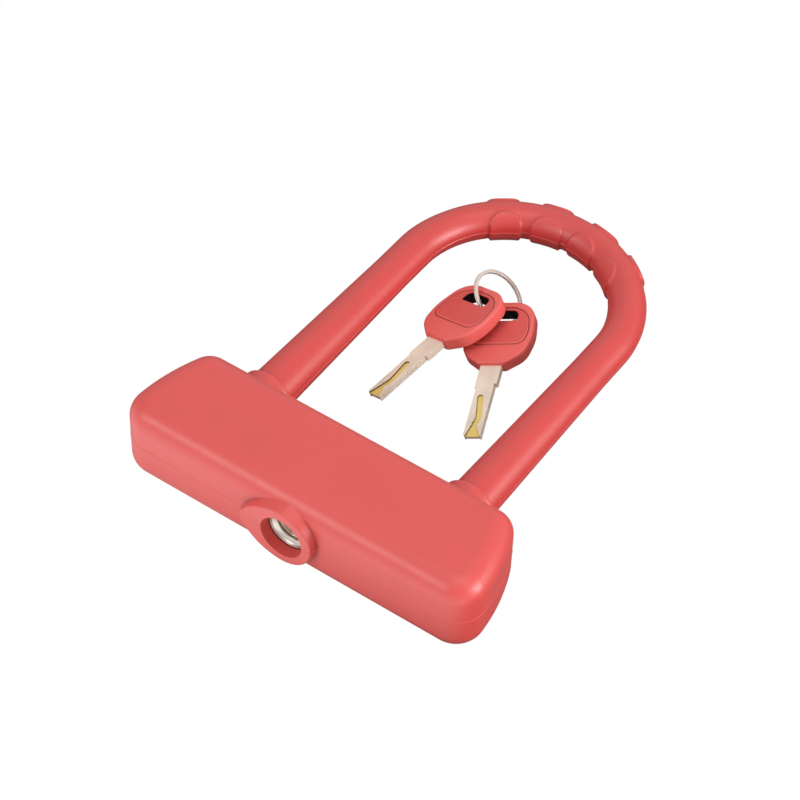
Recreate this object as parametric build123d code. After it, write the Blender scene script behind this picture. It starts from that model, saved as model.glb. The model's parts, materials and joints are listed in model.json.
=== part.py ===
from build123d import *
from math import cos, radians, sin, sqrt
import os

# U lock: a crossbar with the lock cylinder, a U-shaped shackle in a silicone sleeve, and
# two keys on a split ring that lie inside the U.
# Millimetres. X runs along the crossbar, +Y along the shackle's legs, +Z up.
# The origin is the middle of the crossbar's underside.

# ---- crossbar ----
BAR_DEPTH = 44.4
BAR_HEIGHT = 34.5
BAR_EDGE = 8.3          # rounding of the long edges
BAR_CORNER_FRONT = 11.2
BAR_CORNER_BACK = 9.4
END_BULGE_R = 81.5      # radius of the convex end faces, seen from above
END_WIDEST_Y = -15.9    # where the bar is longest
END_HALF_MAX = 76.55    # half length there
COVER_WALL = 2.6        # silicone cover
CASE_WALL = 2.3         # steel case
CASE_HALF = 60.0        # half length of the case's tube, between the end caps
CASE_BORE_R = 7.9       # the case's hole for the bezel's sleeve
SLIP = 0.1              # between pieces that only have to go together
INSIDE = COVER_WALL + CASE_WALL     # from the bar's outside to the case's inside
MID_Z = BAR_HEIGHT / 2

# ---- keyhole boss ----
BOSS_FACE_Y = -25.7
BOSS_FACE_R = 12.5      # half height, and reach to the right
BOSS_FACE_REACH = 19.0  # reach of the pointed left end
BOSS_ROOT_Y = -18.2
BOSS_ROOT_R = 14.4
BOSS_ROOT_REACH = 21.2
BOSS_TIP_R = 4.5        # rounding of the point
BOSS_RIM = 0.7          # rounding of the face's rim
RECESS_R = 9.0
RECESS_END_Y = -21.2

# ---- shackle ----
LEG_X = 45.0
ROD_R = 6.0
FOOT_Y = -11.0          # the rods' feet
BEND_Y = 120.9          # centre of the bend
SLEEVE_START_Y = 24.6
SLEEVE_BASE_R = 9.0
SLEEVE_R = 7.46
TAPER_END_Y = 106.3
COLLAR_R = 10.9
COLLAR_TOP_Y = 27.6
PAD_ANGLES = (53.3, 77.8, 102.2, 126.7)   # degrees round the bend
PAD_PROUD = 1.2
PAD_INNER_SPAN = 18.0
PAD_OUTER_SPAN = 15.0
PAD_REACH = 72.0        # degrees round the tube, above and below its middle

# ---- lock cylinder and bolts ----
FIT = 0.05              # radial running clearance
GAP = 0.35              # between pieces that slide past each other
BEZEL_R = 8.85
BEZEL_POCKET_R = 9.4    # room in the cover round the bezel, behind the recess
HOUSING_R = 8.4
HOUSING_END_Y = 6.4
PLUG_R = 6.0
PLUG_FRONT_Y = -16.9
DISC_FRONT_Y = -18.4
TAIL_R = 3.4
TAIL_END_Y = 8.0
KEYWAY = (2.9, 9.1)     # width, height
KEYWAY_END_Y = 5.4
WAFER_COUNT = 7
WAFER_PITCH = 2.7
WAFER_T = 1.0
CAM_R = 6.6
CAM_FRONT_Y = 6.75
CAM_BACK_Y = 9.2
BOLT_TRAVEL = 4.2
PEG_R = 1.0
PEG_CRANK = BOLT_TRAVEL / sqrt(2)
PEG_END_Y = 13.5
BOLT_Y = 11.8           # middle of the bolts
BOLT_T = 7.0
BOLT_H = 11.0
BOLT_LENGTH = 17.0
TAIL_T = 4.0
SOCKET_BACK_Y = BAR_DEPTH / 2 - INSIDE - SLIP
BOLT_TIP_X = LEG_X - ROD_R - 0.4
NOTCH_DEPTH = BOLT_TRAVEL
CAM_SCREW_R = 1.0
CAM_SCREW_HEAD_R = 1.85
END_PIN_R = 1.5
END_PIN_X = 57.5
END_PIN_DEPTH = 4.6     # how far a pin's hole goes into the end cap
SPIGOT_LENGTH = 5.0     # the end cap's spigot, inside the case
SPIGOT_POCKET = (58.2, 7.0, 10.0)   # the relief in the spigot: end along X, half depth, wall above
SCREW_R = 1.5
GUIDE_X = (19.0, 35.0)  # bolt guide, from and to
GUIDE_MID_X = 27.0
GUIDE_FRONT = 5.2       # the guide starts this far in front of the bolt's middle
SOCKET_X = (36.0, 54.5)     # leg socket, from and to
SOCKET_FLOOR = 4.0      # wall below the leg's foot
LEG_HOLE_R = ROD_R + 1.6    # the case's and the cover's hole for a leg
CYLINDER_PIN_R = 1.2
CYLINDER_PIN_Y = -6.0
PIN_SLIP = 0.02         # a pin's radius under its hole's
PIN_START_Z = COVER_WALL + 0.3      # pins and screws start just inside the case's floor
BEZEL_FLANGE = 1.3      # the bezel's height in front of the case
BEZEL_SLEEVE_R = 7.85
BEZEL_BORE_R = 6.45
BEZEL_CONE = (8.15, 6.7, 1.5)       # radii and depth of the cone in its face
CHAMBER = (4.0, 10.2)   # half width, and reach below the axis, of the housing's lower chamber
BROACH = (2.1, 7.4)     # half width and half height of the housing's slots
WAFER = (3.3, 5.3)      # half width and half height
WAFER_CORNER = 1.3
WAFER_WINDOW = (1.75, 4.1)
WAFER_STEP = 0.35       # how far the wafers sit above or below each other
DISC_RIM = (0.9, 0.5)   # width and height of the disc's raised rim
TAIL_FLAT = 2.6         # from the axis to the flats on the plug's tail
BOLT_TAIL = (0.6, 5.4)  # the bolt's tail, from and to above the axis
BOLT_TAIL_END = 3.2     # the tail's length past its peg
BOLT_CHAMFER = 1.0
NOTCH_SLACK = 0.6       # room for the bolt in the leg's notch, each way
FOOT_CHAMFER = 1.6
COLLAR_LIP = 1.2        # rounding of the collar's rim
DISTANT = 90.0          # beyond the bar in every direction

# ---- keys ----
# A key lies in its own frame: v across, u along the blade away from the tip, w through it.
HEAD_T = 5.6
SHOULDER_U = -1.1
HEAD_CORNERS = (        # v, u, rounding, from the blade to the top
    (5.4, SHOULDER_U, 1.2), (12.3, 4.0, 9.0), (14.2, 13.5, 22.0), (11.8, 29.5, 9.3),
)
HEAD_EDGE = 0.9
PANEL_CORNERS = ((11.2, 8.1, 4.3), (12.3, 14.5, 10.0), (10.4, 26.7, 9.0))
PANEL_SINK = 0.12       # the grip panel lies this far below the face
PANEL_GAP = 0.45        # groove round the panel
PANEL_GAP_DEPTH = 0.45
HOLE_CORNERS = ((6.2, 20.1, 0.8), (6.2, 25.2, 2.8))    # the ring's hole
LINER_WALL = 0.9
LINER_SUNK = 0.45       # the liner ends this far below each face
BLADE_T = 2.4
TANG_U = 15.0           # how far the blade reaches into the head
TANG_V = 4.1
BLADE_OUTLINE = (
    (4.1, -1.1), (4.3, -1.2), (4.3, -9.9), (3.1, -9.9), (3.4, -10.8), (3.4, -35.0), (-3.0, -35.0),
    (-3.5, -34.2), (-3.5, -12.1), (-4.2, -11.6), (-4.2, -1.2), (-4.1, -1.1),
)                       # v, u: from the right of the shoulder round the tip to its left
GROOVE_W = 2.4
GROOVE_DEPTH = 0.6
GROOVE_LINE = ((-0.7, -16.5), (-0.3, -19.0), (0.2, -22.5), (0.6, -26.5), (-0.4, -29.6))  # v, u
RAMP_CORNERS = ((-1.1, -29.2), (0.5, -29.2), (3.3, -35.5), (-3.0, -35.5))    # it fans out to the tip
RING_R = 11.04          # centreline
RING_SECTION = (1.8, 1.3)
RING_EDGE = 0.5

# Where the two keys and the ring lie. A key's place is its shoulder point and three
# turns: yaw about Z, pitch that lifts the head, and roll that lowers its +X side.
KEY_A_PLACE = ((-14.78, 94.38, 8.20), (-8.87, 8.76, -20.86))
KEY_B_PLACE = ((8.08, 97.48, 5.81), (21.66, 5.95, -17.68))
RING_CENTRE = (-8.25, 125.68, 9.67)
RING_AZIMUTH = 15.4     # of the ring's axis, degrees
RING_ELEVATION = 52.2

os.makedirs("parts", exist_ok=True)


def save(node, solid):
    """Write one sub-part."""
    export_step(solid, "parts/%s.step" % node)


def along_y(radius, y0, y1, x=0.0, z=MID_Z):
    """A cylinder along Y from y0 to y1."""
    body = Cylinder(radius, y1 - y0, align=(Align.CENTER, Align.CENTER, Align.MIN))
    return Pos(x, y0, z) * Rot(-90, 0, 0) * body


def along_z(radius, z0, z1, x, y):
    """A cylinder along Z from z0 to z1."""
    return Pos(x, y, z0) * Cylinder(radius, z1 - z0, align=(Align.CENTER, Align.CENTER, Align.MIN))


def block(x0, x1, y0, y1, z0, z1):
    """A box between two corners."""
    return Pos((x0 + x1) / 2, (y0 + y1) / 2, (z0 + z1) / 2) * Box(x1 - x0, y1 - y0, z1 - z0)


def end_x(y, inset):
    """Half length of the bar at y, drawn in by inset."""
    radius = END_BULGE_R - inset
    centre = END_HALF_MAX - END_BULGE_R
    return centre + sqrt(radius ** 2 - (y - END_WIDEST_Y) ** 2)


def bar_outline(inset):
    """The bar seen from above: straight front and back, convex ends that narrow to the back."""
    half = BAR_DEPTH / 2 - inset
    front = end_x(-half, inset)
    back = end_x(half, inset)
    middle = end_x(END_WIDEST_Y / 4, inset)
    edges = [
        Line((-front, -half), (front, -half)),
        ThreePointArc((front, -half), (middle, END_WIDEST_Y / 4), (back, half)),
        Line((back, half), (-back, half)),
        ThreePointArc((-back, half), (-middle, END_WIDEST_Y / 4), (-front, -half)),
    ]
    face = make_face(Curve() + edges)
    front_corners = face.vertices().filter_by(lambda v: v.Y < 0)
    face = fillet(front_corners, BAR_CORNER_FRONT - inset)
    back_corners = face.vertices().filter_by(lambda v: v.Y > half - 0.1)
    return fillet(back_corners, BAR_CORNER_BACK - inset)


def bar_body(inset):
    """The bar's rounded body, drawn in by inset on every side."""
    body = extrude(bar_outline(inset), BAR_HEIGHT - 2 * inset)
    body = Pos(0, 0, inset) * body
    rims = body.edges().filter_by(lambda e: abs(e.center().Z - inset) < 0.01)
    rims += body.edges().filter_by(lambda e: abs(e.center().Z - BAR_HEIGHT + inset) < 0.01)
    return fillet(rims, BAR_EDGE - inset)


def boss_outline(radius, reach, y):
    """Outline across Y: round on the right, drawn out to a rounded point on the left."""
    arc_r = (reach ** 2 + radius ** 2) / (2 * radius)
    half = reach / 2
    rise = radius - arc_r + sqrt(arc_r ** 2 - half ** 2)
    edges = [
        ThreePointArc((0, -radius), (radius, 0), (0, radius)),
        ThreePointArc((0, radius), (-half, rise), (-reach, 0)),
        ThreePointArc((-reach, 0), (-half, -rise), (0, -radius)),
    ]
    face = make_face(Curve() + edges)
    face = fillet(face.vertices().filter_by(lambda v: v.X < -half), BOSS_TIP_R)
    return Plane(origin=(0, y, MID_Z), x_dir=(1, 0, 0), z_dir=(0, -1, 0)) * face


def crossbar_cover():
    """Silicone skin with the keyhole boss in front and a collar round each leg behind."""
    face = boss_outline(BOSS_FACE_R, BOSS_FACE_REACH, BOSS_FACE_Y)
    root = boss_outline(BOSS_ROOT_R, BOSS_ROOT_REACH, BOSS_ROOT_Y)
    boss = loft([root.face(), face.face()])
    rim = boss.edges().filter_by(lambda e: e.center().Y < BOSS_FACE_Y + 0.1)
    cover = bar_body(0.0) + fillet(rim, BOSS_RIM)
    for side in (-1, 1):
        collar = along_y(COLLAR_R, BAR_DEPTH / 2 - 2.0, COLLAR_TOP_Y, side * LEG_X)
        lip = collar.edges().filter_by(lambda e: e.center().Y > COLLAR_TOP_Y - 0.1)
        cover += fillet(lip, COLLAR_LIP)
    cover -= bar_body(COVER_WALL)
    cover -= along_y(RECESS_R, BOSS_FACE_Y - 1.0, RECESS_END_Y)
    cover -= along_y(BEZEL_POCKET_R, RECESS_END_Y, BOSS_ROOT_Y + 0.5)
    for side in (-1, 1):
        cover -= along_y(SLEEVE_BASE_R + GAP, SLEEVE_START_Y - 1.0, COLLAR_TOP_Y + 1.0, side * LEG_X)
        cover -= along_y(LEG_HOLE_R, BAR_DEPTH / 2 - COVER_WALL - 1.0, SLEEVE_START_Y, side * LEG_X)
    return cover


def case_section(inset):
    """The steel case's body, cut square at both ends."""
    return bar_body(inset) & block(-CASE_HALF, CASE_HALF, -DISTANT, DISTANT, -DISTANT, DISTANT)


def crossbar_case():
    """Rectangular steel tube, open at both ends, bored for the cylinder and the legs."""
    case = case_section(COVER_WALL + 0.05)
    half_y = BAR_DEPTH / 2 - INSIDE
    hollow = block(-DISTANT, DISTANT, -half_y, half_y, INSIDE, BAR_HEIGHT - INSIDE)
    case -= fillet(hollow.edges().filter_by(Axis.X), BAR_EDGE - INSIDE)
    case -= along_y(CASE_BORE_R, -DISTANT, 0)
    for side in (-1, 1):
        case -= along_y(LEG_HOLE_R, 0, DISTANT, side * LEG_X)
        for lift in (0, 1):
            case -= along_z(END_PIN_R, lift * MID_Z, MID_Z + lift * MID_Z, side * END_PIN_X, 0)
        case -= along_z(SCREW_R, 0, MID_Z, side * GUIDE_MID_X, BOLT_Y)
    case -= along_z(CYLINDER_PIN_R, 0, MID_Z, 0, CYLINDER_PIN_Y)
    return case


def end_cap(side):
    """Steel plug that closes one end of the case: a rounded head and a spigot."""
    x0, x1 = sorted((side * (CASE_HALF + SLIP), side * DISTANT))
    head = bar_body(COVER_WALL + SLIP) & block(x0, x1, -DISTANT, DISTANT, -DISTANT, DISTANT)
    inner = INSIDE + SLIP
    half_y = BAR_DEPTH / 2 - inner
    x0, x1 = sorted((side * (CASE_HALF - SPIGOT_LENGTH), side * (CASE_HALF + 1.0)))
    spigot = block(x0, x1, -half_y, half_y, inner, BAR_HEIGHT - inner)
    spigot = fillet(spigot.edges().filter_by(Axis.X), BAR_EDGE - inner)
    pocket_end, pocket_y, wall = SPIGOT_POCKET
    x0, x1 = sorted((0, side * pocket_end))
    cap = head + spigot - block(x0, x1, -pocket_y, pocket_y, wall, BAR_HEIGHT - wall)
    top = BAR_HEIGHT - inner
    for z0, z1 in ((inner - 1, inner + END_PIN_DEPTH), (top - END_PIN_DEPTH, top + 1)):
        cap -= along_z(END_PIN_R, z0, z1, side * END_PIN_X, 0)
    return cap


def end_cap_pins():
    """Four pins that hold the end caps, from above and below."""
    low = PIN_START_Z
    deep = INSIDE + END_PIN_DEPTH - 2 * SLIP
    pins = []
    for side in (-1, 1):
        for z0, z1 in ((low, deep), (BAR_HEIGHT - deep, BAR_HEIGHT - low)):
            pins.append(along_z(END_PIN_R - PIN_SLIP, z0, z1, side * END_PIN_X, 0))
    return Compound(children=pins)


def keyway(y0, y1):
    """The key's slot along Y."""
    return block(-KEYWAY[0] / 2, KEYWAY[0] / 2, y0, y1, MID_Z - KEYWAY[1] / 2, MID_Z + KEYWAY[1] / 2)


def cylinder_bezel():
    """Stepped steel ring round the keyhole, on the front of the case."""
    seat_y = -BAR_DEPTH / 2 + COVER_WALL
    front_y = seat_y - BEZEL_FLANGE
    ring = along_y(BEZEL_R, front_y, seat_y)
    rim = ring.edges().filter_by(lambda e: e.center().Y < front_y + 0.1)
    ring = fillet(rim, 0.35)
    ring += along_y(BEZEL_SLEEVE_R, seat_y - BEZEL_FLANGE / 2, seat_y + CASE_WALL)
    cone = Cone(*BEZEL_CONE, align=(Align.CENTER, Align.CENTER, Align.MIN))
    ring -= Pos(0, front_y - 0.01, MID_Z) * Rot(-90, 0, 0) * cone
    return ring - along_y(BEZEL_BORE_R, front_y, 0)


def cylinder_housing():
    """Fixed shell of the lock cylinder, with broached slots above and below for the wafers."""
    front_y = -BAR_DEPTH / 2 + INSIDE
    half_x, reach = CHAMBER
    shell = along_y(HOUSING_R, front_y, HOUSING_END_Y)
    shell += block(-half_x, half_x, front_y + 1.5, HOUSING_END_Y, MID_Z - reach, MID_Z)
    shell -= along_y(PLUG_R + FIT, front_y - 1, HOUSING_END_Y + 1)
    half_x, half_z = BROACH
    shell -= block(-half_x, half_x, front_y + 2, HOUSING_END_Y - 1.2, MID_Z - half_z, MID_Z + half_z)
    return shell - along_z(CYLINDER_PIN_R, 0, MID_Z - HOUSING_R, 0, CYLINDER_PIN_Y)


def cylinder_pin():
    """Pin through the case's floor that holds the cylinder."""
    top = MID_Z - HOUSING_R - 2 * SLIP
    return along_z(CYLINDER_PIN_R - PIN_SLIP, PIN_START_Z, top, 0, CYLINDER_PIN_Y)


def wafer_y(index):
    """Middle of one wafer along Y."""
    first = PLUG_FRONT_Y + 3.2
    return first + index * WAFER_PITCH


def key_plug():
    """Plug that the key turns, slotted across for the wafers, with a tail for the cam."""
    plug = along_y(PLUG_R, PLUG_FRONT_Y, HOUSING_END_Y) + along_y(TAIL_R, HOUSING_END_Y - 1, TAIL_END_Y)
    flat = block(-TAIL_R, TAIL_R, HOUSING_END_Y + 0.01, TAIL_END_Y + 1, MID_Z + TAIL_FLAT, MID_Z + TAIL_R)
    plug -= flat + mirror_z(flat)
    plug -= keyway(PLUG_FRONT_Y - 1, KEYWAY_END_Y)
    for index in range(WAFER_COUNT):
        y = wafer_y(index)
        half_x = WAFER[0] + 2 * SLIP
        half_y = WAFER_T / 2 + SLIP
        plug -= block(-half_x, half_x, y - half_y, y + half_y, MID_Z - PLUG_R - 1, MID_Z + PLUG_R + 1)
    plug -= along_y(CAM_SCREW_R, KEYWAY_END_Y + 0.5, TAIL_END_Y + 1)
    return plug


def mirror_z(shape):
    """The same shape on the other side of the bar's middle height."""
    return mirror(shape, Plane(origin=(0, 0, MID_Z), z_dir=(0, 0, 1)))


def anti_drill_disc():
    """Hardened disc in front of the plug, with a raised rim and the key's slot."""
    width, height = DISC_RIM
    disc = along_y(PLUG_R, DISC_FRONT_Y, PLUG_FRONT_Y - FIT)
    disc -= along_y(PLUG_R - width, DISC_FRONT_Y - 1, DISC_FRONT_Y + height)
    return disc - keyway(DISC_FRONT_Y - 1, PLUG_FRONT_Y + 1)


def wafers():
    """Wafers across the plug, each a plate with a window that the blade passes through."""
    plates = []
    for index in range(WAFER_COUNT):
        y = wafer_y(index)
        middle = MID_Z + WAFER_STEP * sin(index * 2.1)
        half_x, half_z = WAFER
        plate = block(-half_x, half_x, y - WAFER_T / 2, y + WAFER_T / 2, middle - half_z, middle + half_z)
        plate = chamfer(plate.edges().filter_by(Axis.Y), WAFER_CORNER)
        half_x, half_z = WAFER_WINDOW
        window = block(-half_x, half_x, y - WAFER_T, y + WAFER_T, middle - half_z, middle + half_z)
        plates.append(plate - window)
    return Compound(children=plates)


def peg_place(angle):
    """Centre of a cam peg, at an angle from +X towards +Z."""
    return PEG_CRANK * cos(radians(angle)), MID_Z + PEG_CRANK * sin(radians(angle))


def plug_cam():
    """Disc behind the plug with two pegs, one for each bolt."""
    cam = along_y(CAM_R, CAM_FRONT_Y, CAM_BACK_Y)
    hole = along_y(TAIL_R + 0.02, CAM_FRONT_Y - 1, TAIL_END_Y + 0.05)
    top = MID_Z + CAM_R
    flat = block(-CAM_R, CAM_R, CAM_FRONT_Y - 2, TAIL_END_Y + 1, MID_Z + TAIL_FLAT + PIN_SLIP, top)
    cam -= hole - flat - mirror_z(flat)
    for angle in (135, 315):
        x, z = peg_place(angle)
        cam += along_y(PEG_R, CAM_BACK_Y - 0.5, PEG_END_Y, x, z)
    cam -= along_y(CAM_SCREW_R + SLIP, TAIL_END_Y - 1, CAM_BACK_Y + 1)
    return cam - screw_cone(FIT)


def screw_cone(grow):
    """Countersunk head of the cam's screw, flush with the cam's back."""
    depth = CAM_SCREW_HEAD_R - CAM_SCREW_R
    seat = (Align.CENTER, Align.CENTER, Align.MAX)
    cone = Cone(CAM_SCREW_R + grow, CAM_SCREW_HEAD_R + grow, depth, align=seat)
    return Pos(0, CAM_BACK_Y, MID_Z) * Rot(-90, 0, 0) * cone


def cam_screw():
    """Small countersunk screw that holds the cam on the plug's tail."""
    screw = screw_cone(0.0) + along_y(CAM_SCREW_R - 0.02, KEYWAY_END_Y + 0.8, CAM_BACK_Y - 0.5)
    return screw - block(-1.6, 1.6, CAM_BACK_Y - 0.4, CAM_BACK_Y + 1, MID_Z - 0.25, MID_Z + 0.25)


def bolt(side):
    """Sliding bolt: a block that enters the leg's notch, and a tail slotted for its peg."""
    peg_x, peg_z = peg_place(135 if side > 0 else 315)
    z_sign = 1 if side > 0 else -1
    tip = side * BOLT_TIP_X
    x0, x1 = sorted((tip, tip - side * BOLT_LENGTH))
    head = block(x0, x1, BOLT_Y - BOLT_T / 2, BOLT_Y + BOLT_T / 2, MID_Z - BOLT_H / 2, MID_Z + BOLT_H / 2)
    tips = head.edges().filter_by(Axis.Z).filter_by(lambda e: abs(e.center().X) > BOLT_TIP_X - 0.1)
    head = chamfer(tips, BOLT_CHAMFER)
    x0, x1 = sorted((peg_x - side * BOLT_TAIL_END, tip - side * (BOLT_LENGTH - 1)))
    z0, z1 = sorted(MID_Z + z_sign * height for height in BOLT_TAIL)
    tail = block(x0, x1, BOLT_Y - TAIL_T / 2, BOLT_Y + TAIL_T / 2, z0, z1)
    body = head + tail
    reach = PEG_R + 0.3
    low = MID_Z + z_sign * (PEG_CRANK * sin(radians(45)) - reach + 0.1)
    high = MID_Z + z_sign * (PEG_CRANK + reach)
    z0, z1 = sorted((low, high))
    return body - block(peg_x - reach, peg_x + reach, BOLT_Y - BOLT_T, BOLT_Y + BOLT_T, z0, z1)


def inside_block(x0, x1, front_y):
    """A block that fills the case's back half between floor and roof, with its long edges rounded."""
    inner = INSIDE + SLIP
    body = block(x0, x1, front_y, SOCKET_BACK_Y, inner, BAR_HEIGHT - inner)
    return fillet(body.edges().filter_by(Axis.X), BAR_EDGE - inner)


def bolt_window(x0, x1):
    """Room for a bolt to slide in."""
    half_y = BOLT_T / 2 + GAP
    half_z = BOLT_H / 2 + GAP
    return block(x0, x1, BOLT_Y - half_y, BOLT_Y + half_y, MID_Z - half_z, MID_Z + half_z)


def bolt_guide(side):
    """Block inside the case with a window that the bolt slides in."""
    x0, x1 = sorted(side * x for x in GUIDE_X)
    guide = inside_block(x0, x1, BOLT_Y - GUIDE_FRONT) - bolt_window(-DISTANT, DISTANT)
    return guide - along_z(SCREW_R, 0, MID_Z, side * GUIDE_MID_X, BOLT_Y)


def guide_screws():
    """Two flat-head screws through the case's floor into the bolt guides."""
    screws = []
    for side in (-1, 1):
        top = MID_Z - BOLT_H / 2 - 1.2
        screws.append(along_z(SCREW_R - PIN_SLIP, PIN_START_Z, top, side * GUIDE_MID_X, BOLT_Y))
    return Compound(children=screws)


def leg_socket(side):
    """Block inside the case that guides one leg, with a window for the bolt."""
    x0, x1 = sorted(side * x for x in SOCKET_X)
    socket = inside_block(x0, x1, FOOT_Y - SOCKET_FLOOR)
    socket -= along_y(ROD_R + FIT, FOOT_Y - 0.8, DISTANT, side * LEG_X)
    x0, x1 = sorted((0, side * LEG_X))
    return socket - bolt_window(x0, x1)


def dust_seal(side):
    """Rubber ring round the leg, in the case's back wall."""
    seal = along_y(LEG_HOLE_R - FIT, SOCKET_BACK_Y + SLIP, BAR_DEPTH / 2 - COVER_WALL, side * LEG_X)
    return seal - along_y(ROD_R + GAP + FIT, 0, DISTANT, side * LEG_X)


def half_ring(radius):
    """Half torus of the bend."""
    section = Plane(origin=(LEG_X, BEND_Y, MID_Z), x_dir=(1, 0, 0), z_dir=(0, -1, 0)) * Circle(radius)
    return revolve(section, Axis((0, BEND_Y, 0), (0, 0, 1)), 180)


def shackle_rod():
    """Hardened steel rod with a notch for the bolt in the inner side of each foot."""
    rod = half_ring(ROD_R)
    for side in (-1, 1):
        leg = along_y(ROD_R, FOOT_Y, BEND_Y, side * LEG_X)
        foot = leg.edges().filter_by(lambda e: e.center().Y < FOOT_Y + 0.1)
        rod += chamfer(foot, FOOT_CHAMFER)
    for side in (-1, 1):
        inner = LEG_X - ROD_R
        x0, x1 = sorted((side * (inner - 2), side * (inner + NOTCH_DEPTH + 0.4)))
        half = BOLT_T / 2 + NOTCH_SLACK
        rod -= block(x0, x1, BOLT_Y - half, BOLT_Y + half, MID_Z - 2 * ROD_R, MID_Z + 2 * ROD_R)
    return rod


def tapered_leg(side):
    """Outside of the sleeve along one leg: a long taper and a straight part."""
    length = TAPER_END_Y - SLEEVE_START_Y
    cone = Cone(SLEEVE_BASE_R, SLEEVE_R, length, align=(Align.CENTER, Align.CENTER, Align.MIN))
    leg = Pos(side * LEG_X, SLEEVE_START_Y, MID_Z) * Rot(-90, 0, 0) * cone
    return leg + along_y(SLEEVE_R, TAPER_END_Y, BEND_Y, side * LEG_X)


def grip_pad(angle, outer):
    """A raised patch that wraps the bend's inner or outer side."""
    span = PAD_OUTER_SPAN if outer else PAD_INNER_SPAN
    side = 1 if outer else -1
    rim = SLEEVE_R + PAD_PROUD
    base = SLEEVE_R - 0.4

    def point(radius, phi):
        return (LEG_X + side * radius * cos(radians(phi)), radius * sin(radians(phi)))

    edges = [
        ThreePointArc(point(rim, -PAD_REACH), point(rim, 0), point(rim, PAD_REACH)),
        Line(point(rim, PAD_REACH), point(base, PAD_REACH)),
        ThreePointArc(point(base, PAD_REACH), point(base, 0), point(base, -PAD_REACH)),
        Line(point(base, -PAD_REACH), point(rim, -PAD_REACH)),
    ]
    sketch = make_face(Curve() + edges)
    section = Plane(origin=(0, BEND_Y, MID_Z), x_dir=(1, 0, 0), z_dir=(0, -1, 0)) * sketch
    patch = revolve(section, Axis((0, BEND_Y, 0), (0, 0, 1)), span)
    return Pos(0, BEND_Y, 0) * Rot(0, 0, angle - span / 2) * Pos(0, -BEND_Y, 0) * patch


def shackle_sleeve():
    """Silicone sleeve over the rod, with grip pads round the bend."""
    sleeve = half_ring(SLEEVE_R)
    for side in (-1, 1):
        sleeve += tapered_leg(side)
    for angle in PAD_ANGLES:
        for outer in (False, True):
            sleeve += grip_pad(angle, outer)
    bore = half_ring(ROD_R + 0.03)
    for side in (-1, 1):
        bore += along_y(ROD_R + 0.03, 10, BEND_Y, side * LEG_X)
    return sleeve - bore


def shield(corners):
    """A rounded outline that mirrors about v = 0, from its corners on one side."""
    right = [(v, u) for v, u, _ in corners]
    left = [(-v, u) for v, u in right[::-1]]
    face = make_face(Polyline(*right, *left, close=True))
    for _, height, radius in corners:
        face = fillet(face.vertices().filter_by(lambda vertex: abs(vertex.Y - height) < 0.01), radius)
    return face


def panel(inset):
    """Outline of the grip panel, drawn in by inset."""
    return offset(shield(PANEL_CORNERS), -inset) if inset else shield(PANEL_CORNERS)


def hole_box(grow, height):
    """The ring's hole through a key's head, grown by a wall."""
    outline = shield([(v + grow, u + grow * side, radius + grow)
                      for (v, u, radius), side in zip(HOLE_CORNERS, (-1, 1))])
    return Pos(0, 0, -height / 2) * extrude(outline, height)


def key_head():
    """Plastic head with a grip panel in a fine groove on both faces."""
    half = HEAD_T / 2
    head = Pos(0, 0, -half) * extrude(shield(HEAD_CORNERS), HEAD_T)
    rims = head.edges().filter_by(lambda e: abs(abs(e.center().Z) - half) < 0.01)
    head = fillet(rims, HEAD_EDGE)
    for outline, depth in ((panel(0.0), PANEL_SINK), (panel(0.0) - panel(PANEL_GAP), PANEL_GAP_DEPTH)):
        for floor_w in (half - depth, -half - 1.0):
            head -= Pos(0, 0, floor_w) * extrude(outline, 1.0 + depth)
    head -= hole_box(LINER_WALL + PIN_SLIP, HEAD_T + 2)
    side_v = TANG_V + FIT
    side_w = BLADE_T / 2 + PIN_SLIP
    return head - block(-side_v, side_v, SHOULDER_U - 1, TANG_U + SLIP, -side_w, side_w)


def key_liner():
    """Dark liner of the ring's hole."""
    height = HEAD_T - 2 * LINER_SUNK
    return hole_box(LINER_WALL, height) - hole_box(0.0, height + 2)


def key_blade():
    """Flat nickel blade with two stop steps, and a winding track milled into both faces."""
    outline = Polyline((-TANG_V, TANG_U), (TANG_V, TANG_U), *BLADE_OUTLINE, close=True)
    blade = Pos(0, 0, -BLADE_T / 2) * extrude(make_face(outline), BLADE_T)
    ramp = make_face(Polyline(*RAMP_CORNERS, close=True))
    groove = trace([Spline(*GROOVE_LINE)], GROOVE_W) + Pos(*GROOVE_LINE[0]) * Circle(GROOVE_W / 2) + ramp
    for floor_w in (BLADE_T / 2 - GROOVE_DEPTH, -BLADE_T / 2 - 1.0):
        blade -= Pos(0, 0, floor_w) * extrude(groove, 1.0 + GROOVE_DEPTH)
    return blade


def key_location(place):
    """Location of a key from its shoulder point and its yaw, pitch and roll."""
    point, (yaw, pitch, roll) = place
    return Pos(*point) * Rot(0, 0, yaw) * Rot(pitch, 0, 0) * Rot(0, roll, 0)


def key_ring():
    """Flat ring through both keys."""
    azimuth, elevation = radians(RING_AZIMUTH), radians(RING_ELEVATION)
    normal = (cos(elevation) * cos(azimuth), cos(elevation) * sin(azimuth), sin(elevation))
    plane = Plane(origin=RING_CENTRE, z_dir=normal)
    upright = Plane(origin=(RING_R, 0, 0), x_dir=(1, 0, 0), z_dir=(0, -1, 0))
    section = upright * RectangleRounded(*RING_SECTION, RING_EDGE)
    return plane.location * revolve(section, Axis.Z, 360)


save("crossbar_cover", crossbar_cover())
save("crossbar_case", crossbar_case())
save("end_cap_pins", end_cap_pins())
save("cylinder_bezel", cylinder_bezel())
save("cylinder_housing", cylinder_housing())
save("cylinder_pin", cylinder_pin())
save("key_plug", key_plug())
save("anti_drill_disc", anti_drill_disc())
save("wafers", wafers())
save("plug_cam", plug_cam())
save("cam_screw", cam_screw())
save("guide_screws", guide_screws())
save("shackle_rod", shackle_rod())
save("shackle_sleeve", shackle_sleeve())
save("key_ring", key_ring())

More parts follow.
